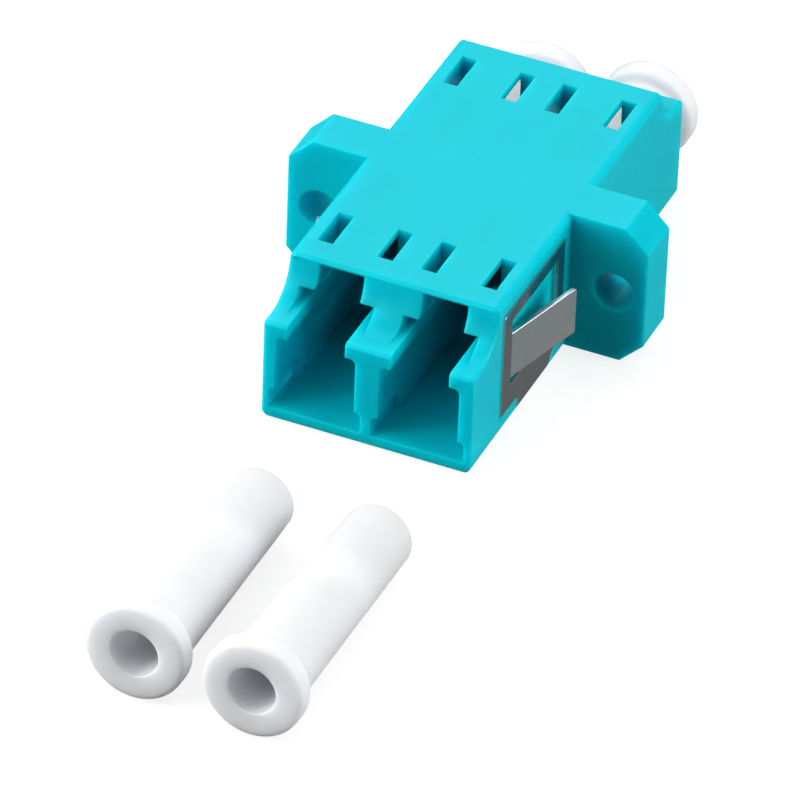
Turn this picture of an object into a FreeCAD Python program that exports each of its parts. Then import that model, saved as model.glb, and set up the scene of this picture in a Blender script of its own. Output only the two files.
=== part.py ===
import FreeCAD, Part
import math
import os

# Duplex fibre optic coupler for small push-in plugs, with a flange, a spring clip and four dust caps.
# Millimetres. X is the width, Y the optical axis with the open ports facing -Y, Z is up.
# The origin is on the bottom face, midway between the ports, on the plane where the two ferrules meet.

# Ports: one square hole per plug, four in all, two on each end
PORT_PITCH = 6.25
PORT_SIZE = 4.8
PORT_FLOOR = 0.75
PORT_FILLET = 0.35
SIDE_WALL = 0.8
LEDGE_HEIGHT = 0.95
LEDGE_WIDTH = 0.65
LATCH_ROOM = 2.05
ROOF = 0.5
WING_STEP = 0.14
WINDOW_WIDTH = 0.91
WINDOW_LENGTH = 2.88
BLOCK_DEPTH = 1.75
BLOCK_HEIGHT = 1.75
SLOT_LEAD = 0.25
CHANNEL_END = 2.6
RELIEF_CUT = 0.4
RELIEF_HEIGHT = 1.3
RELIEF_DEPTH = 3.3
RELIEF_FILLET = 0.35

# Housing: one moulding, with lips that reach out past the roof at both ends
BODY_LENGTH = 30.36
LIP_LENGTH = 3.36
LIP_FILLET = 2.3
EDGE_FILLET = 0.45
RIM_BEVEL = 0.18
PARTITION = 0.9

# Flange: a plate with two screw holes, midway along the housing
FLANGE_WIDTH = 22.0
FLANGE_THICKNESS = 3.1
FLANGE_CHAMFER = 1.41
FLANGE_BEVEL = 0.06
SCREW_EDGE = 2.0
SCREW_HOLE = 2.3
SCREW_RIM = 0.15

# Alignment: a split sleeve for each pair of ferrules, held between a boss and a retainer
SLEEVE_OUTER = 1.62
SLEEVE_INNER = 1.25
SLEEVE_LENGTH = 6.8
SLEEVE_SLIT = 0.3
SLEEVE_PLAY = 0.065
SLEEVE_END_PLAY = 0.05
BOSS_WALL = 0.575
BOSS_LIP = 0.6
FERRULE_HOLE = 1.45
RETAINER_PLATE = 0.8
RETAINER_PLAY = 0.02

# Spring clip: one strip of sheet steel, folded round the bottom and both sides
CLIP_THICKNESS = 0.3
CLIP_PROUD = 0.05
CLIP_PLAY = 0.08
CLIP_BEND = 0.25
CLIP_SETBACK = 0.85
CLIP_FLANGE_GAP = 0.9
CLIP_TOP_DROP = 1.1
CLIP_FOOT = 1.15
CLIP_FRONT_STRIP = 1.1
CLIP_REAR_STRIP = 0.95
CLIP_TOP_STRIP = 0.85
CLIP_LOWER_STRIP = 1.6
CLIP_CORNER = 0.2
BAND_FRONT_STEP = 2.5
BAND_REAR_STEP = 1.7
BAND_FILLET = 0.9
TAB_WIDTH = 3.0
TAB_DROP = 0.85
TAB_SLOT = 0.62
TAB_ANGLE = 15.5
TAB_CORNER = 0.15

# Dust caps: tapered plugs with a round head, cored from both ends
CAP_HEAD_GAP = 0.4
CAP_HEAD_THICKNESS = 1.4
CAP_HEAD_BEVEL = 0.28
CAP_PLAY = 0.14
CAP_TAPER = 0.66
CAP_TIP_GAP = 0.76
CAP_CORE = 2.8
CAP_CORE_RIM = 0.1
CAP_CORE_DEPTH = 9.0
CAP_SKIRT_PLAY = 0.2
CAP_SKIRT_DEPTH = 4.8
CAP_STANDOFF = 1.33
CAP_STANDOFF_STEP = 0.8

# The two caps that lie on the surface in front: x and y of the head's face, and the turn about Z
LOOSE_CAPS = {
    "dust_cap_loose_left": (-1.89, -41.2, 0.46),
    "dust_cap_loose_right": (5.03, -41.36, -0.17),
}

# Sizes that follow from those above
PORT_X = PORT_PITCH / 2
PORT_Z = PORT_FLOOR + PORT_SIZE / 2
BODY_WIDTH = PORT_PITCH + PORT_SIZE + 2 * SIDE_WALL
LIP_HEIGHT = PORT_FLOOR + PORT_SIZE + LEDGE_HEIGHT
BODY_HEIGHT = LIP_HEIGHT + LATCH_ROOM + ROOF
END_Y = BODY_LENGTH / 2
ROOF_Y = END_Y - LIP_LENGTH
WINDOW_FRONT = ROOF_Y - BLOCK_DEPTH
WINDOW_BACK = WINDOW_FRONT - WINDOW_LENGTH
WING_HALF = PORT_SIZE / 2 - WING_STEP
SLOT_HALF = WING_HALF - WINDOW_WIDTH
BORE = SLEEVE_OUTER + 2 * SLEEVE_PLAY
BOSS_OUTER = BORE + 2 * BOSS_WALL
BORE_END = SLEEVE_LENGTH / 2 + SLEEVE_END_PLAY
BOSS_END = BORE_END + BOSS_LIP
CAP_HEAD = PORT_PITCH - CAP_HEAD_GAP
CAP_ROOT = PORT_SIZE - CAP_PLAY
CAP_TIP = CAP_ROOT - CAP_TAPER
CAP_STEM = END_Y - PARTITION / 2 + CAP_STANDOFF - CAP_TIP_GAP
CAP_LENGTH = CAP_HEAD_THICKNESS + CAP_STEM
CLIP_OUTER_X = BODY_WIDTH / 2 + CLIP_PROUD
CLIP_INNER_X = CLIP_OUTER_X - CLIP_THICKNESS
CLIP_FRONT_Y = -(ROOF_Y - CLIP_SETBACK)
CLIP_BACK_Y = -(FLANGE_THICKNESS / 2 + CLIP_FLANGE_GAP)
CLIP_TOP_Z = BODY_HEIGHT - CLIP_TOP_DROP

# How far cutting shapes reach past the faces that they cut
PAST = 1.0

X_AXIS = FreeCAD.Vector(1, 0, 0)
Y_AXIS = FreeCAD.Vector(0, 1, 0)
Z_AXIS = FreeCAD.Vector(0, 0, 1)
ORIGIN = FreeCAD.Vector(0, 0, 0)


def box(x_range, y_range, z_range):
    """A box between two corners, given as a low and a high value along each axis."""
    low = FreeCAD.Vector(x_range[0], y_range[0], z_range[0])
    return Part.makeBox(x_range[1] - x_range[0], y_range[1] - y_range[0], z_range[1] - z_range[0], low)


def rod(radius, y_range, x=0.0, z=0.0):
    """A round rod along Y."""
    return Part.makeCylinder(radius, y_range[1] - y_range[0], FreeCAD.Vector(x, y_range[0], z), Y_AXIS)


def prism_along_x(outline, half_width):
    """A prism across the width, from an outline of (y, z) points."""
    points = [FreeCAD.Vector(-half_width, y, z) for y, z in outline]
    face = Part.Face(Part.makePolygon(points + points[:1]))
    return face.extrude(X_AXIS * (2 * half_width))


def straight_edges(shape, direction, wanted):
    """The straight edges along a direction whose middle passes the test."""
    found = []
    for edge in shape.Edges:
        if not isinstance(edge.Curve, Part.Line):
            continue
        if abs(abs(edge.Curve.Direction.dot(direction)) - 1) < 1e-6 and wanted(edge.CenterOfMass):
            found.append(edge)
    return found


def near(a, b):
    """True where two coordinates agree."""
    return abs(a - b) < 1e-4


def end_profile(side):
    """Edges of the side outline at one end, from the bottom face up to the roof."""
    lip_corner = FreeCAD.Vector(0, side * END_Y, LIP_HEIGHT)
    arc_start = FreeCAD.Vector(0, side * (ROOF_Y + LIP_FILLET), LIP_HEIGHT)
    arc_end = FreeCAD.Vector(0, side * ROOF_Y, LIP_HEIGHT + LIP_FILLET)
    reach = LIP_FILLET * (1 - math.cos(math.pi / 4))
    arc_middle = FreeCAD.Vector(0, side * (ROOF_Y + reach), LIP_HEIGHT + reach)
    return [
        Part.LineSegment(FreeCAD.Vector(0, side * END_Y, 0), lip_corner).toShape(),
        Part.LineSegment(lip_corner, arc_start).toShape(),
        Part.Arc(arc_start, arc_middle, arc_end).toShape(),
        Part.LineSegment(arc_end, FreeCAD.Vector(0, side * ROOF_Y, BODY_HEIGHT)).toShape(),
    ]


def body_block():
    """The housing's outer form without the flange: roof, lips and the hollow curve between them."""
    edges = end_profile(-1) + end_profile(1)
    for y, z in ((END_Y, 0), (ROOF_Y, BODY_HEIGHT)):
        edges.append(Part.LineSegment(FreeCAD.Vector(0, -y, z), FreeCAD.Vector(0, y, z)).toShape())
    edges = Part.__sortEdges__(edges)
    block = Part.Face(Part.Wire(edges)).extrude(X_AXIS * BODY_WIDTH)
    block.translate(X_AXIS * (-BODY_WIDTH / 2))
    long_edges = straight_edges(block, Y_AXIS, lambda c: near(c.z, 0) or near(c.z, BODY_HEIGHT))
    block = block.makeFillet(EDGE_FILLET, long_edges)
    side_edges = [e for e in block.Edges if near(abs(e.CenterOfMass.x), BODY_WIDTH / 2)]
    rims = [e for e in side_edges if abs(e.CenterOfMass.y) > ROOF_Y - 1e-3]
    rims += straight_edges(block, X_AXIS, lambda c: near(abs(c.y), END_Y) or near(c.z, BODY_HEIGHT))
    return block.makeChamfer(RIM_BEVEL, rims)


def flange_plate():
    """The flange: a plate with cut corners and softened edges."""
    half = FLANGE_WIDTH / 2
    step = FLANGE_CHAMFER
    outline = [
        (-half + step, 0), (half - step, 0), (half, step), (half, BODY_HEIGHT - step),
        (half - step, BODY_HEIGHT), (-half + step, BODY_HEIGHT), (-half, BODY_HEIGHT - step), (-half, step),
    ]
    points = [FreeCAD.Vector(x, -FLANGE_THICKNESS / 2, z) for x, z in outline]
    plate = Part.Face(Part.makePolygon(points + points[:1])).extrude(Y_AXIS * FLANGE_THICKNESS)
    rims = [e for e in plate.Edges if near(abs(e.CenterOfMass.y), FLANGE_THICKNESS / 2)]
    return plate.makeChamfer(FLANGE_BEVEL, rims)


def screw_hole(x):
    """The cutting shape of one screw hole, with a small bevel at both faces."""
    radius = SCREW_HOLE / 2
    half = FLANGE_THICKNESS / 2
    middle = BODY_HEIGHT / 2
    hole = rod(radius, (-half - PAST, half + PAST), x, middle)
    for side in (-1, 1):
        start = FreeCAD.Vector(x, side * (half - SCREW_RIM), middle)
        bevel = Part.makeCone(radius, radius + SCREW_RIM, SCREW_RIM, start, Y_AXIS * side)
        hole = hole.fuse(bevel)
    return hole


def port_cut():
    """The cutting shape of one port with its latch channels, on the axis, open towards -Y."""
    mouth = -END_Y - PAST
    half = PORT_SIZE / 2
    ledge_low = PORT_FLOOR + PORT_SIZE
    roof_low = BODY_HEIGHT - ROOF
    block_low = BODY_HEIGHT - BLOCK_HEIGHT

    plug = box((-half, half), (mouth, -PARTITION / 2), (PORT_FLOOR, ledge_low))
    plug = plug.makeFillet(PORT_FILLET, straight_edges(plug, Y_AXIS, lambda c: near(c.z, ledge_low)))

    relief_half = half + RELIEF_CUT
    relief_top = PORT_FLOOR + RELIEF_HEIGHT
    relief = box((-relief_half, relief_half), (mouth, -END_Y + RELIEF_DEPTH), (PORT_FLOOR, relief_top))
    relief = relief.makeFillet(RELIEF_FILLET, straight_edges(relief, Y_AXIS, lambda c: near(c.z, relief_top)))

    gap_half = half - LEDGE_WIDTH
    pieces = [
        relief,
        box((-gap_half, gap_half), (mouth, -CHANNEL_END), (ledge_low - PORT_FILLET, LIP_HEIGHT)),
        box((-WING_HALF, WING_HALF), (mouth, -WINDOW_BACK), (LIP_HEIGHT, block_low)),
        box((-SLOT_HALF, SLOT_HALF), (mouth, -CHANNEL_END), (LIP_HEIGHT, roof_low)),
    ]
    past_roof = -ROOF_Y - PAST
    lead = [(past_roof, roof_low), (-ROOF_Y + SLOT_LEAD, roof_low), (past_roof, roof_low + SLOT_LEAD + PAST)]
    pieces.append(prism_along_x(lead, SLOT_HALF))
    for side in (-1, 1):
        across = sorted((side * SLOT_HALF, side * WING_HALF))
        pieces.append(box(across, (-WINDOW_FRONT, -WINDOW_BACK), (LIP_HEIGHT, BODY_HEIGHT + PAST)))
    return plug.multiFuse(pieces)


def sleeve_tube():
    """The tube round one sleeve, from the mid-plane towards -Y, with a lip that keeps the sleeve in."""
    tube = rod(BOSS_OUTER / 2, (-BOSS_END, 0))
    bore = rod(BORE / 2, (-BORE_END, PAST))
    mouth = rod(FERRULE_HOLE / 2, (-BOSS_END - PAST, PAST))
    return tube.cut([bore, mouth])


def clip_outline(grow):
    """A prism with the side outline of the clip's arms and band, grown by a gap."""
    front, back = CLIP_FRONT_Y - grow, CLIP_BACK_Y + grow
    foot, top = CLIP_FOOT - grow, CLIP_TOP_Z + grow
    band_front = CLIP_FRONT_Y + BAND_FRONT_STEP - grow
    band_back = CLIP_BACK_Y - BAND_REAR_STEP + grow
    outline = [
        (front, foot), (band_front, foot), (band_front, -PAST), (band_back, -PAST),
        (band_back, foot), (back, foot), (back, top), (front, top),
    ]
    prism = prism_along_x(outline, BODY_WIDTH)
    corner = straight_edges(prism, X_AXIS, lambda c: near(c.z, foot) and near(c.y, band_back))
    prism = prism.makeFillet(BAND_FILLET, corner)
    corners = straight_edges(prism, X_AXIS, lambda c: near(c.z, top))
    corners += straight_edges(prism, X_AXIS, lambda c: near(c.z, foot) and c.y < band_front + 1e-3)
    return prism.makeFillet(CLIP_CORNER, corners)


def clip_core(y_range):
    """The space inside the clip: what is left of the housing between its arms and above its band."""
    core = box((-CLIP_INNER_X, CLIP_INNER_X), y_range, (CLIP_THICKNESS, BODY_HEIGHT + PAST))
    return core.makeFillet(CLIP_BEND, straight_edges(core, Y_AXIS, lambda c: near(c.z, CLIP_THICKNESS)))


def make_housing():
    """The moulded housing with its flange, ports, windows, sleeve bosses and clip recess."""
    housing = body_block().fuse(flange_plate())
    screw_x = FLANGE_WIDTH / 2 - SCREW_EDGE
    cuts = [screw_hole(-screw_x), screw_hole(screw_x)]
    for x in (-PORT_X, PORT_X):
        for turn in (0, 180):
            cut = port_cut()
            cut.rotate(ORIGIN, Z_AXIS, turn)
            cut.translate(X_AXIS * x)
            cuts.append(cut)
        cuts.append(rod(BORE / 2, (-PARTITION, PARTITION), x, PORT_Z))
    recess_range = (CLIP_FRONT_Y - PAST, CLIP_BACK_Y + CLIP_FLANGE_GAP)
    recess = clip_outline(CLIP_PLAY).cut(clip_core(recess_range))
    housing = housing.cut(cuts + [recess])
    across = (-PORT_SIZE, PORT_SIZE)
    for x in (-PORT_X, PORT_X):
        boss = sleeve_tube().cut(box(across, (-PARTITION / 2, PAST), across))
        boss.rotate(ORIGIN, Z_AXIS, 180)
        boss.translate(FreeCAD.Vector(x, 0, PORT_Z))
        housing = housing.fuse(boss)
    return housing.removeSplitter()


def make_retainer(x):
    """The push-in half of a sleeve holder: a square plate on the partition and a tube towards the plug."""
    half = PORT_SIZE / 2 - RETAINER_PLAY
    back = -PARTITION / 2
    plate = box((-half, half), (back - RETAINER_PLATE, back), (-half, half))
    plate = plate.makeFillet(PORT_FILLET, straight_edges(plate, Y_AXIS, lambda c: c.z > 0))
    plate = plate.cut(rod(BORE / 2, (back - RETAINER_PLATE - PAST, PAST)))
    tube = sleeve_tube().cut(box((-PORT_SIZE, PORT_SIZE), (back, PAST), (-PORT_SIZE, PORT_SIZE)))
    retainer = plate.fuse(tube).removeSplitter()
    retainer.translate(FreeCAD.Vector(x, 0, PORT_Z))
    return retainer


def make_sleeve(x):
    """A split alignment sleeve, with its slit on top."""
    half = SLEEVE_LENGTH / 2
    tube = rod(SLEEVE_OUTER / 2, (-half, half)).cut(rod(SLEEVE_INNER / 2, (-half, half)))
    sleeve = tube.cut(box((-SLEEVE_SLIT / 2, SLEEVE_SLIT / 2), (-half, half), (0, SLEEVE_OUTER)))
    sleeve.translate(FreeCAD.Vector(x, 0, PORT_Z))
    return sleeve


def clip_tab(root_y, length, z_range):
    """The lanced spring tab of the right arm, bent out of its window towards the flange."""
    angle = math.radians(TAB_ANGLE)
    along = FreeCAD.Vector(math.sin(angle), math.cos(angle), 0)
    outward = FreeCAD.Vector(math.cos(angle), -math.sin(angle), 0)
    root = FreeCAD.Vector(CLIP_INNER_X, root_y, z_range[0])
    tip = root + along * length
    shoulder = root + X_AXIS * (CLIP_THICKNESS / math.cos(angle))
    points = [root, tip, tip + outward * CLIP_THICKNESS, shoulder]
    tab = Part.Face(Part.makePolygon(points + points[:1])).extrude(Z_AXIS * (z_range[1] - z_range[0]))
    tip_edges = straight_edges(tab, outward, lambda c: c.y > root_y + length / 2)
    return tab.makeFillet(TAB_CORNER, tip_edges)


def make_clip():
    """The spring clip: a folded strip with a window and a bent tab in each arm."""
    y_range = (CLIP_FRONT_Y, CLIP_BACK_Y)
    bend = CLIP_BEND + CLIP_THICKNESS
    strip = box((-CLIP_OUTER_X, CLIP_OUTER_X), y_range, (0, CLIP_TOP_Z))
    strip = strip.makeFillet(bend, straight_edges(strip, Y_AXIS, lambda c: near(c.z, 0)))
    strip = strip.cut(clip_core(y_range)).common(clip_outline(0))

    window_y = (CLIP_FRONT_Y + CLIP_FRONT_STRIP, CLIP_BACK_Y - CLIP_REAR_STRIP)
    window_z = (CLIP_FOOT + CLIP_LOWER_STRIP, CLIP_TOP_Z - CLIP_TOP_STRIP)
    strip = strip.cut(box((-BODY_WIDTH, BODY_WIDTH), window_y, window_z))

    tab_top = window_z[1] - TAB_DROP
    tab = clip_tab(window_y[0], window_y[1] - window_y[0] - TAB_SLOT, (tab_top - TAB_WIDTH, tab_top))
    return strip.multiFuse([tab, tab.mirror(ORIGIN, X_AXIS)]).removeSplitter()


def cap_form():
    """A dust cap on the Y axis: the head's face at y = 0, the tip towards +Y."""
    head, bevel = CAP_HEAD / 2, CAP_HEAD_BEVEL
    back = CAP_HEAD_THICKNESS
    outline = [
        (0, 0), (head - bevel, 0), (head, bevel), (head, back - bevel), (head - bevel, back),
        (CAP_ROOT / 2, back), (CAP_TIP / 2, CAP_LENGTH), (0, CAP_LENGTH),
    ]
    points = [FreeCAD.Vector(r, y, 0) for r, y in outline]
    cap = Part.Face(Part.makePolygon(points + points[:1])).revolve(ORIGIN, Y_AXIS, 360)
    core = rod(CAP_CORE / 2, (-PAST, CAP_CORE_DEPTH))
    rim = Part.makeCone(CAP_CORE / 2 + CAP_CORE_RIM, CAP_CORE / 2, CAP_CORE_RIM, ORIGIN, Y_AXIS)
    skirt = rod(BOSS_OUTER / 2 + CAP_SKIRT_PLAY / 2, (CAP_LENGTH - CAP_SKIRT_DEPTH, CAP_LENGTH + PAST))
    return cap.cut([core, rim, skirt])


def make_plugged_cap(x, standoff):
    """A cap pushed into a rear port, its head standing off the lips."""
    cap = cap_form()
    cap.rotate(ORIGIN, Z_AXIS, 180)
    cap.translate(FreeCAD.Vector(x, END_Y + standoff + CAP_HEAD_THICKNESS, PORT_Z))
    return cap


def make_loose_cap(x, y, turn):
    """A cap lying on the surface, on the rim of its head and the rim of its tip."""
    head_y = CAP_HEAD_THICKNESS - CAP_HEAD_BEVEL
    tilt = math.atan2((CAP_HEAD - CAP_TIP) / 2, CAP_LENGTH - head_y)
    height = CAP_HEAD / 2 * math.cos(tilt) + head_y * math.sin(tilt)
    cap = cap_form()
    cap.rotate(ORIGIN, X_AXIS, -math.degrees(tilt))
    cap.rotate(ORIGIN, Z_AXIS, turn)
    cap.translate(FreeCAD.Vector(x, y, height))
    return cap


def main():
    nodes = {"housing": make_housing(), "spring_clip": make_clip()}
    standoffs = {"left": CAP_STANDOFF, "right": CAP_STANDOFF + CAP_STANDOFF_STEP}
    for name, x in (("left", -PORT_X), ("right", PORT_X)):
        nodes["sleeve_retainer_" + name] = make_retainer(x)
        nodes["alignment_sleeve_" + name] = make_sleeve(x)
        nodes["dust_cap_rear_" + name] = make_plugged_cap(x, standoffs[name])
    for name, place in LOOSE_CAPS.items():
        nodes[name] = make_loose_cap(*place)
    os.makedirs("parts", exist_ok=True)
    for name, shape in nodes.items():
        shape.exportStep("parts/" + name + ".step")


main()
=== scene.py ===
"""The look of a duplex fibre optic coupler with its dust caps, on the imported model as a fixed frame."""

import math

import bmesh
import bpy
from mathutils import Matrix, Vector


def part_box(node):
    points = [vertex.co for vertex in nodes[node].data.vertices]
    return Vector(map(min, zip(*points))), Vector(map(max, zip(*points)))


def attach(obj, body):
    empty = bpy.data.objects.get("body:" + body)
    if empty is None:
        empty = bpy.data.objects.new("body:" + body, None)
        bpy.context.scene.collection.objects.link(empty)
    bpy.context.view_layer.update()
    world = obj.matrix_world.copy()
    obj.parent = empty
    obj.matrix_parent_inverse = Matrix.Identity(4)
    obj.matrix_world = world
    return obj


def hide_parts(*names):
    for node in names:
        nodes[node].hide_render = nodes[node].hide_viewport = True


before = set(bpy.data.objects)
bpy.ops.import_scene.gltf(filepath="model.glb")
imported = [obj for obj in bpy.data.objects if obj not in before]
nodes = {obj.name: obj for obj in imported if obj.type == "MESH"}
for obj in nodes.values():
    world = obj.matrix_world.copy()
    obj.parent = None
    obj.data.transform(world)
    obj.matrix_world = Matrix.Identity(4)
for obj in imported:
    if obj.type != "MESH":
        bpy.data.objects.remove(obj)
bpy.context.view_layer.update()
scene = bpy.context.scene

# Metres in a millimetre and in a centimetre
MM = 0.001
CM = 0.01

# Sizes and places that the CAD source gives, in millimetres, and the turn of a loose cap in degrees
PORT_X = 3.125
PORT_Z = 3.15
CAP_HEAD = 5.85
CAP_HEAD_THICKNESS = 1.4
CAP_HEAD_BEVEL = 0.28
CAP_ROOT = 4.66
CAP_TIP = 4.0
CAP_LENGTH = 16.7
CAP_CORE = 2.8
CAP_CORE_DEPTH = 9.0
CAP_SKIRT = 3.1
CAP_SKIRT_DEPTH = 4.8
REAR_CAPS = {"left": (-PORT_X, 17.91), "right": (PORT_X, 18.71)}
LOOSE_CAPS = {"left": (-1.89, -41.2, 0.46), "right": (5.03, -41.36, -0.17)}

# Radii that soften a cap, in millimetres, and how many flats go round it
HEAD_ROUND = 0.34
CORE_RIM_ROUND = 0.09
CORE_FLOOR_ROUND = 0.2
ROOT_ROUND = 0.12
TIP_ROUND = 0.2
SKIRT_RIM_ROUND = 0.1
CAP_SIDES = 96

# Widths of the rounded edges on the copied pieces, in millimetres
HOUSING_ROUND = 0.06
CLIP_ROUND = 0.035
HOLDER_ROUND = 0.05
SLEEVE_ROUND = 0.03
ROUND_SEGMENTS = 3

# How many of those widths both faces at an edge have to reach, for the edge to be rounded
ROOM_FOR_ROUND = 2.2

# Planes through the windows, the bores and the ports, where large flat faces are split
HOUSING_CUTS = {
    "x": (-9.0, -5.3, -4.475, -PORT_X, -1.775, -1.2, 0.0, 1.2, 1.775, PORT_X, 4.475, 5.3, 9.0),
    "y": (-8.63, 8.63),
    "z": (PORT_Z,),
}
CLIP_CUTS = {"x": (0.0,), "y": (0.0,), "z": (4.5,)}
INNER_CUTS = {"x": (-PORT_X, PORT_X), "z": (PORT_Z,)}

# Angles between faces: joined under the first, rounded over the second, shaded sharp from the third
FLAT = math.radians(0.5)
SHARP = math.radians(30)
STILL_SHARP = math.radians(38)

# Distances in metres under which the points of a copied mesh, and of a cut or turned one, are the same
WELD = 2e-6
TINY = 1e-7

# How strongly large faces rule the shading of the edges beside them
FACE_WEIGHT = 50

# The floor sheet: half its width in metres, its cells, and how much light it gives by itself
FLOOR_REACH = 3.0
FLOOR_CELLS = 8
FLOOR_GLOW = 0.78

# The camera that was fitted to the photograph: degrees, millimetres and pixels of an 800 pixel frame
CAMERA_AZIMUTH = 22.437
CAMERA_ELEVATION = 36.35
CAMERA_ROLL = 2.32
CAMERA_DISTANCE = 500.0
CAMERA_OFFSET = (4.284, 9.177)
CAMERA_TARGET = (0.0, 0.0, 4.5)
CAMERA_FOCAL = 8881.5
FRAME_PIXELS = 800
SENSOR_WIDTH = 36.0

# The nearest and the farthest that the camera sees, in metres
CAMERA_NEAR = 0.01
CAMERA_FAR = 50.0

# Softboxes: azimuth from the front and elevation in degrees, size in centimetres, power in watts
SOFTBOXES = {
    "front_left": (-36, 45, 30, 0.7),
    "front_side": (-60, 14, 36, 3.05),
    "right": (98, 16, 34, 2.0),
    "rear_right": (125, 60, 40, 0.95),
    "rear_left": (-145, 52, 40, 1.1),
}
SOFTBOX_DISTANCE = 0.5

# The room's light: from below at the left and at the right, from above, and where one turns into the other
GLOW_BELOW_LEFT = 0.14
GLOW_BELOW_RIGHT = 0.34
GLOW_ABOVE = 0.05
LEFT_TO_RIGHT = (0.3, 0.65)
BELOW_TO_ABOVE = (-0.1, 0.1)

WHITE = (1.0, 1.0, 1.0, 1.0)


def new_material(name):
    """A material with an empty node tree, its Principled shader and its output."""
    material = bpy.data.materials.new(name)
    material.use_nodes = True
    tree = material.node_tree
    tree.nodes.clear()
    output = tree.nodes.new("ShaderNodeOutputMaterial")
    shader = tree.nodes.new("ShaderNodeBsdfPrincipled")
    tree.links.new(shader.outputs["BSDF"], output.inputs["Surface"])
    return material, tree, shader


def set_inputs(shader, **values):
    """Sets the shader's own sockets; an underscore stands for a space in a socket's name."""
    for name, value in values.items():
        shader.inputs[name.replace("_", " ")].default_value = value


def link_inputs(tree, shader, **sources):
    """Links sources to the shader's sockets; an underscore stands for a space in a socket's name."""
    for name, source in sources.items():
        tree.links.new(source, shader.inputs[name.replace("_", " ")])


def millimetres(tree, stretch=(1.0, 1.0, 1.0)):
    """Object coordinates in millimetres, stretched along the axes."""
    coords = tree.nodes.new("ShaderNodeTexCoord")
    scale = tree.nodes.new("ShaderNodeVectorMath")
    scale.operation = "MULTIPLY"
    scale.inputs[1].default_value = [s / MM for s in stretch]
    tree.links.new(coords.outputs["Object"], scale.inputs[0])
    return scale.outputs["Vector"]


def noise(tree, vector, scale, detail, roughness=0.5):
    """A noise texture; the scale is in cells per unit of the vector."""
    node = tree.nodes.new("ShaderNodeTexNoise")
    node.inputs["Scale"].default_value = scale
    node.inputs["Detail"].default_value = detail
    node.inputs["Roughness"].default_value = roughness
    tree.links.new(vector, node.inputs["Vector"])
    return node.outputs["Fac"]


def remap(tree, value, low, high, source=(0.3, 0.7)):
    """The value moved from a source range, which is the usual one of a noise, to a new range."""
    node = tree.nodes.new("ShaderNodeMapRange")
    node.inputs["From Min"].default_value = source[0]
    node.inputs["From Max"].default_value = source[1]
    node.inputs["To Min"].default_value = low
    node.inputs["To Max"].default_value = high
    tree.links.new(value, node.inputs["Value"])
    return node.outputs["Result"]


def two_tone(tree, value, dark, light):
    """A colour between two, by a noise."""
    node = tree.nodes.new("ShaderNodeMix")
    node.data_type = "RGBA"
    node.inputs["A"].default_value = (*dark, 1.0)
    node.inputs["B"].default_value = (*light, 1.0)
    tree.links.new(remap(tree, value, low=0.0, high=1.0), node.inputs["Factor"])
    return node.outputs["Result"]


def bump(tree, height, strength, distance, under=None):
    """A bump from a height, over another one if that is given; the distance is in millimetres."""
    node = tree.nodes.new("ShaderNodeBump")
    node.inputs["Strength"].default_value = strength
    node.inputs["Distance"].default_value = distance * MM
    tree.links.new(height, node.inputs["Height"])
    if under:
        tree.links.new(under, node.inputs["Normal"])
    return node.outputs["Normal"]


def aqua_plastic():
    """Satin moulded plastic: a little light passes through, with flow shades and a fine moulded grain."""
    material, tree, shader = new_material("aqua_plastic")
    set_inputs(
        shader, IOR=1.5, Specular_IOR_Level=0.24, Specular_Tint=(0.3, 0.85, 1.0, 1.0),
        Subsurface_Weight=0.8, Subsurface_Scale=MM, Subsurface_Radius=(0.2, 1.6, 1.9),
    )
    place = millimetres(tree)
    flow = noise(tree, millimetres(tree, stretch=(0.25, 0.12, 0.25)), scale=1.0, detail=3.0)
    gloss = noise(tree, place, scale=3.0, detail=4.0)
    fine = noise(tree, place, scale=14.0, detail=3.0, roughness=0.6)
    waves = noise(tree, place, scale=0.7, detail=2.0)
    grain = bump(tree, fine, strength=0.25, distance=0.006)
    link_inputs(
        tree, shader,
        Base_Color=two_tone(tree, flow, dark=(0.0, 0.51, 0.605), light=(0.0, 0.545, 0.64)),
        Roughness=remap(tree, gloss, low=0.35, high=0.44),
        Normal=bump(tree, waves, strength=0.3, distance=0.02, under=grain),
    )
    return material


def cap_plastic():
    """Soft white polyethylene: milky, with a waxy sheen and small moulding specks."""
    material, tree, shader = new_material("cap_plastic")
    set_inputs(
        shader, IOR=1.51, Subsurface_Weight=1.0, Subsurface_Scale=MM, Subsurface_Radius=(1.6, 1.64, 1.72),
    )
    place = millimetres(tree)
    cloud = noise(tree, place, scale=0.35, detail=3.0)
    gloss = noise(tree, place, scale=2.0, detail=3.0)
    fine = noise(tree, place, scale=9.0, detail=3.0, roughness=0.6)
    waves = noise(tree, place, scale=0.9, detail=2.0)
    grain = bump(tree, fine, strength=0.2, distance=0.008)
    link_inputs(
        tree, shader,
        Base_Color=two_tone(tree, cloud, dark=(0.79, 0.805, 0.84), light=(0.83, 0.84, 0.865)),
        Roughness=remap(tree, gloss, low=0.42, high=0.56),
        Normal=bump(tree, waves, strength=0.3, distance=0.025, under=grain),
    )
    return material


def spring_steel():
    """Rolled stainless sheet: fine lines along the strip, with small differences in gloss."""
    material, tree, shader = new_material("spring_steel")
    set_inputs(shader, Metallic=1.0, Anisotropic=0.35)
    lines = noise(tree, millimetres(tree, stretch=(30.0, 0.6, 30.0)), scale=1.0, detail=3.0)
    patches = noise(tree, millimetres(tree), scale=0.8, detail=3.0)
    link_inputs(
        tree, shader,
        Base_Color=two_tone(tree, lines, dark=(0.52, 0.57, 0.585), light=(0.61, 0.655, 0.67)),
        Roughness=remap(tree, patches, low=0.15, high=0.24),
        Normal=bump(tree, lines, strength=0.2, distance=0.004),
    )
    return material


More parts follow.
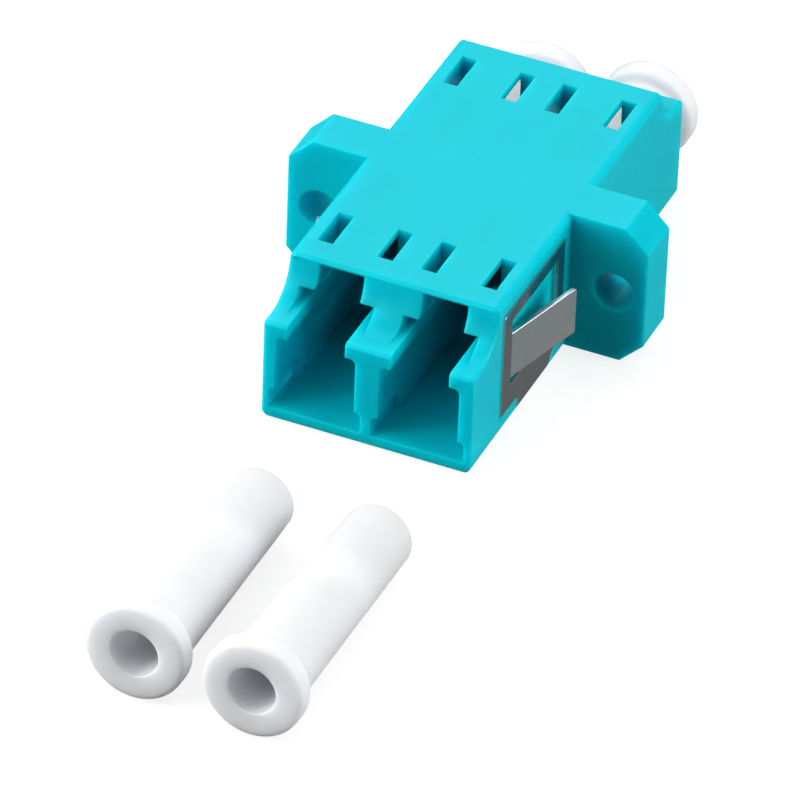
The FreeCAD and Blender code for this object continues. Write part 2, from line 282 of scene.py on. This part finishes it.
def holder_plastic():
    """Plain moulded plastic of the sleeve holders."""
    material, tree, shader = new_material("retainer_plastic")
    set_inputs(shader, IOR=1.5)
    place = millimetres(tree)
    cloud = noise(tree, place, scale=0.8, detail=3.0)
    gloss = noise(tree, place, scale=4.0, detail=3.0)
    fine = noise(tree, place, scale=12.0, detail=3.0)
    link_inputs(
        tree, shader,
        Base_Color=two_tone(tree, cloud, dark=(0.0, 0.37, 0.44), light=(0.0, 0.4, 0.47)),
        Roughness=remap(tree, gloss, low=0.4, high=0.52),
        Normal=bump(tree, fine, strength=0.2, distance=0.006),
    )
    return material


def zirconia():
    """Polished white ceramic with very faint grinding lines round the axis."""
    material, tree, shader = new_material("zirconia")
    set_inputs(shader, IOR=2.1)
    lines = noise(tree, millimetres(tree, stretch=(1.0, 25.0, 1.0)), scale=1.0, detail=2.0)
    link_inputs(
        tree, shader,
        Base_Color=two_tone(tree, lines, dark=(0.78, 0.77, 0.73), light=(0.84, 0.83, 0.8)),
        Roughness=remap(tree, lines, low=0.12, high=0.2),
        Normal=bump(tree, lines, strength=0.1, distance=0.002),
    )
    return material


def floor_sheet():
    """A lit white sheet, as a product table has, with a barely seen tooth."""
    material, tree, shader = new_material("floor_sheet")
    set_inputs(
        shader, Roughness=0.9, Specular_IOR_Level=0.1, Emission_Color=WHITE, Emission_Strength=FLOOR_GLOW,
    )
    tooth = noise(tree, millimetres(tree), scale=2.0, detail=4.0)
    tone = two_tone(tree, tooth, dark=(0.29, 0.29, 0.29), light=(0.31, 0.31, 0.31))
    link_inputs(tree, shader, Base_Color=tone)
    return material


def mesh_from(name, bm):
    """A mesh made from a bmesh, which is freed."""
    mesh = bpy.data.meshes.new(name)
    bm.to_mesh(mesh)
    bm.free()
    return mesh


def smooth_mesh(name, bm):
    """A smooth-shaded mesh made from a bmesh, which is freed."""
    for face in bm.faces:
        face.smooth = True
    return mesh_from(name, bm)


def link(name, data):
    """A new object in the scene with this mesh, light or camera."""
    made = bpy.data.objects.new(name, data)
    scene.collection.objects.link(made)
    return made


def weighted_normals(piece):
    """Keeps large faces flat and lets the rounded edges between them shade smoothly."""
    modifier = piece.modifiers.new("weighted_normals", "WEIGHTED_NORMAL")
    modifier.mode = "FACE_AREA"
    modifier.weight = FACE_WEIGHT
    modifier.keep_sharp = True


def split_flat_faces(bm, cuts):
    """Cuts the mesh along planes and joins its triangles to faces without holes, for clean rounding."""
    for axis, places in cuts.items():
        across = Vector([float(name == axis) for name in "xyz"])
        for place in places:
            made = bmesh.ops.bisect_plane(
                bm, geom=bm.verts[:] + bm.edges[:] + bm.faces[:], dist=TINY,
                plane_co=across * place * MM, plane_no=across,
            )
            for item in made["geom_cut"]:
                if isinstance(item, bmesh.types.BMEdge):
                    item.seam = True
    bmesh.ops.dissolve_limit(bm, angle_limit=FLAT, verts=bm.verts, edges=bm.edges, delimit={"SEAM"})


def reach_from(edge, face):
    """How far a face reaches from one of its edges."""
    foot = edge.verts[0].co
    along = (edge.verts[1].co - foot).normalized()
    return max((v.co - foot - along * (v.co - foot).dot(along)).length for v in face.verts)


def softened(node, name, width, cuts):
    """A copy of a CAD node with its outside edges rounded, which stands for that node."""
    bm = bmesh.new()
    bm.from_mesh(nodes[node].data)
    bmesh.ops.remove_doubles(bm, verts=bm.verts, dist=WELD)
    split_flat_faces(bm, cuts)
    room = ROOM_FOR_ROUND * width * MM
    outside = [e for e in bm.edges if e.is_convex and e.calc_face_angle() > SHARP]
    roomy = [e for e in outside if min(reach_from(e, f) for f in e.link_faces) > room]
    bmesh.ops.bevel(
        bm, geom=roomy, offset=width * MM, offset_type="OFFSET", segments=ROUND_SEGMENTS, profile=0.5,
        affect="EDGES", clamp_overlap=False, loop_slide=True,
    )
    low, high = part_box(node)
    for vertex in bm.verts:
        for k in range(3):
            vertex.co[k] = min(max(vertex.co[k], low[k]), high[k])
    for edge in bm.edges:
        edge.smooth = edge.calc_face_angle(0.0) < STILL_SHARP
    piece = link(name, smooth_mesh(name, bm))
    weighted_normals(piece)
    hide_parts(node)
    return piece


def arc(center, radius, start, end, steps):
    """Points on an arc in the (radius, y) plane, angles in degrees."""
    points = []
    for i in range(steps + 1):
        angle = math.radians(start + (end - start) * i / steps)
        points.append((center[0] + radius * math.cos(angle), center[1] + radius * math.sin(angle)))
    return points


def cap_outline():
    """Half section of a cap as (radius, y) points, from the core's bottom round to the skirt's bottom."""
    core, skirt = CAP_CORE / 2, CAP_SKIRT / 2
    skirt_floor = CAP_LENGTH - CAP_SKIRT_DEPTH
    core_floor = (core - CORE_FLOOR_ROUND, CAP_CORE_DEPTH - CORE_FLOOR_ROUND)
    core_rim = (core + CORE_RIM_ROUND, CORE_RIM_ROUND)
    head_front = (CAP_HEAD / 2 - HEAD_ROUND, HEAD_ROUND)
    head_back = (CAP_HEAD / 2 - HEAD_ROUND, CAP_HEAD_THICKNESS - HEAD_ROUND)
    root = (CAP_ROOT / 2 + ROOT_ROUND, CAP_HEAD_THICKNESS + ROOT_ROUND)
    tip = (CAP_TIP / 2 - TIP_ROUND, CAP_LENGTH - TIP_ROUND)
    skirt_rim = (skirt + SKIRT_RIM_ROUND, CAP_LENGTH - SKIRT_RIM_ROUND)
    points = [(0.0, CAP_CORE_DEPTH), (core - CORE_FLOOR_ROUND, CAP_CORE_DEPTH)]
    points += arc(core_floor, CORE_FLOOR_ROUND, start=90, end=0, steps=4)
    points += arc(core_rim, CORE_RIM_ROUND, start=180, end=270, steps=8)
    points += arc(head_front, HEAD_ROUND, start=270, end=360, steps=12)
    points += arc(head_back, HEAD_ROUND, start=0, end=90, steps=12)
    points += arc(root, ROOT_ROUND, start=270, end=180, steps=5)
    points += arc(tip, TIP_ROUND, start=0, end=90, steps=8)
    points += arc(skirt_rim, SKIRT_RIM_ROUND, start=90, end=180, steps=4)
    points += [(skirt, skirt_floor), (0.0, skirt_floor)]
    return points


def lathe(name, outline, sides):
    """A closed body turned about the Y axis from an outline whose ends lie on the axis."""
    bm = bmesh.new()
    rings = []
    for radius, y in outline:
        if radius * MM < TINY:
            rings.append([bm.verts.new((0, y * MM, 0))])
            continue
        ring = []
        for i in range(sides):
            angle = 2 * math.pi * i / sides
            x = radius * MM * math.cos(angle)
            z = radius * MM * math.sin(angle)
            ring.append(bm.verts.new((x, y * MM, z)))
        rings.append(ring)
    for a, b in zip(rings, rings[1:]):
        for i in range(sides):
            j = (i + 1) % sides
            if len(a) == 1:
                bm.faces.new((a[0], b[i], b[j]))
            elif len(b) == 1:
                bm.faces.new((a[i], b[0], a[j]))
            else:
                bm.faces.new((a[i], b[i], b[j], a[j]))
    bmesh.ops.remove_doubles(bm, verts=bm.verts, dist=TINY)
    bmesh.ops.recalc_face_normals(bm, faces=bm.faces)
    return smooth_mesh(name, bm)


def cap(name, node, body, place):
    """A turned dust cap at its place, which stands for its CAD node."""
    mesh = lathe(name, cap_outline(), CAP_SIDES)
    mesh.transform(place)
    piece = link(name, mesh)
    weighted_normals(piece)
    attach(piece, body)
    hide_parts(node)
    return piece


def rear_place(x, face_y):
    """Where a cap sits in a rear port: the head's face outwards."""
    return Matrix.Translation(Vector((x, face_y, PORT_Z)) * MM) @ Matrix.Rotation(math.pi, 4, "Z")


def loose_place(x, y, turn):
    """Where a cap lies on the table, on the rims of its head and its tip."""
    head_y = CAP_HEAD_THICKNESS - CAP_HEAD_BEVEL
    tilt = math.atan2((CAP_HEAD - CAP_TIP) / 2, CAP_LENGTH - head_y)
    height = CAP_HEAD / 2 * math.cos(tilt) + head_y * math.sin(tilt)
    move = Matrix.Translation(Vector((x, y, height)) * MM)
    return move @ Matrix.Rotation(math.radians(turn), 4, "Z") @ Matrix.Rotation(-tilt, 4, "X")


def dress(piece, material):
    """Gives a piece one material."""
    piece.data.materials.clear()
    piece.data.materials.append(material)


def direction(azimuth, elevation):
    """The unit vector at these angles from the front, in degrees."""
    turn, rise = math.radians(azimuth), math.radians(elevation)
    return Vector((math.sin(turn) * math.cos(rise), -math.cos(turn) * math.cos(rise), math.sin(rise)))


def make_camera():
    """The photograph's camera."""
    azimuth, roll = math.radians(CAMERA_AZIMUTH), math.radians(CAMERA_ROLL)
    back = direction(CAMERA_AZIMUTH, CAMERA_ELEVATION)
    level = Vector((math.cos(azimuth), math.sin(azimuth), 0.0))
    upright = back.cross(level)
    right = level * math.cos(roll) + upright * math.sin(roll)
    up = upright * math.cos(roll) - level * math.sin(roll)
    centred = Vector(CAMERA_TARGET) + back * CAMERA_DISTANCE
    place = centred - right * CAMERA_OFFSET[0] - up * CAMERA_OFFSET[1]
    data = bpy.data.cameras.new("camera")
    data.sensor_width = SENSOR_WIDTH
    data.lens = CAMERA_FOCAL / FRAME_PIXELS * SENSOR_WIDTH
    data.clip_start = CAMERA_NEAR
    data.clip_end = CAMERA_FAR
    camera = link("camera", data)
    camera.matrix_world = Matrix((
        (right.x, up.x, back.x, place.x * MM),
        (right.y, up.y, back.y, place.y * MM),
        (right.z, up.z, back.z, place.z * MM),
        (0.0, 0.0, 0.0, 1.0),
    ))
    scene.camera = camera


def make_floor(material):
    """A wide pale floor under the object, which lights no piece and shows in none."""
    bm = bmesh.new()
    bmesh.ops.create_grid(bm, x_segments=FLOOR_CELLS, y_segments=FLOOR_CELLS, size=FLOOR_REACH)
    floor = link("floor", mesh_from("floor", bm))
    dress(floor, material)
    floor.visible_diffuse = False
    floor.visible_glossy = False


def softbox(name, azimuth, elevation, size, power):
    """A square area light that faces the origin, from angles taken from the front."""
    data = bpy.data.lights.new(name, "AREA")
    data.shape = "SQUARE"
    data.size = size * CM
    data.energy = power
    light = link(name, data)
    away = direction(azimuth, elevation)
    light.location = away * SOFTBOX_DISTANCE
    light.rotation_mode = "QUATERNION"
    light.rotation_quaternion = away.to_track_quat("Z", "Y")


def make_light():
    """The softboxes, and a room that sends some light up from below."""
    world = bpy.data.worlds.new("studio")
    scene.world = world
    world.use_nodes = True
    tree = world.node_tree
    background = tree.nodes["Background"]
    coords = tree.nodes.new("ShaderNodeTexCoord")
    parts = tree.nodes.new("ShaderNodeSeparateXYZ")
    tree.links.new(coords.outputs["Generated"], parts.inputs["Vector"])
    below = remap(tree, parts.outputs["X"], GLOW_BELOW_LEFT, GLOW_BELOW_RIGHT, LEFT_TO_RIGHT)
    strength = remap(tree, parts.outputs["Z"], 0.0, GLOW_ABOVE, BELOW_TO_ABOVE)
    tree.links.new(below, strength.node.inputs["To Min"])
    tree.links.new(strength, background.inputs["Strength"])
    background.inputs["Color"].default_value = WHITE
    for name, values in SOFTBOXES.items():
        softbox(name, *values)
    scene.view_settings.view_transform = "Standard"
    scene.view_settings.look = "None"


aqua = aqua_plastic()
white = cap_plastic()
steel = spring_steel()
inner_plastic = holder_plastic()
ceramic = zirconia()

housing = softened("housing", "housing_moulding", HOUSING_ROUND, HOUSING_CUTS)
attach(housing, "adapter")
dress(housing, aqua)

clip = softened("spring_clip", "clip_strip", CLIP_ROUND, CLIP_CUTS)
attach(clip, "adapter")
dress(clip, steel)

for side in ("left", "right"):
    retainer = softened("sleeve_retainer_" + side, "sleeve_holder_" + side, HOLDER_ROUND, INNER_CUTS)
    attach(retainer, "adapter")
    dress(retainer, inner_plastic)
    sleeve = softened("alignment_sleeve_" + side, "split_sleeve_" + side, SLEEVE_ROUND, INNER_CUTS)
    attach(sleeve, "adapter")
    dress(sleeve, ceramic)
    in_port = rear_place(*REAR_CAPS[side])
    rear = cap("cap_rear_" + side, "dust_cap_rear_" + side, "rear_cap_" + side, in_port)
    dress(rear, white)
    on_table = loose_place(*LOOSE_CAPS[side])
    loose = cap("cap_loose_" + side, "dust_cap_loose_" + side, "adapter", on_table)
    dress(loose, white)

make_floor(floor_sheet())
make_light()
make_camera()
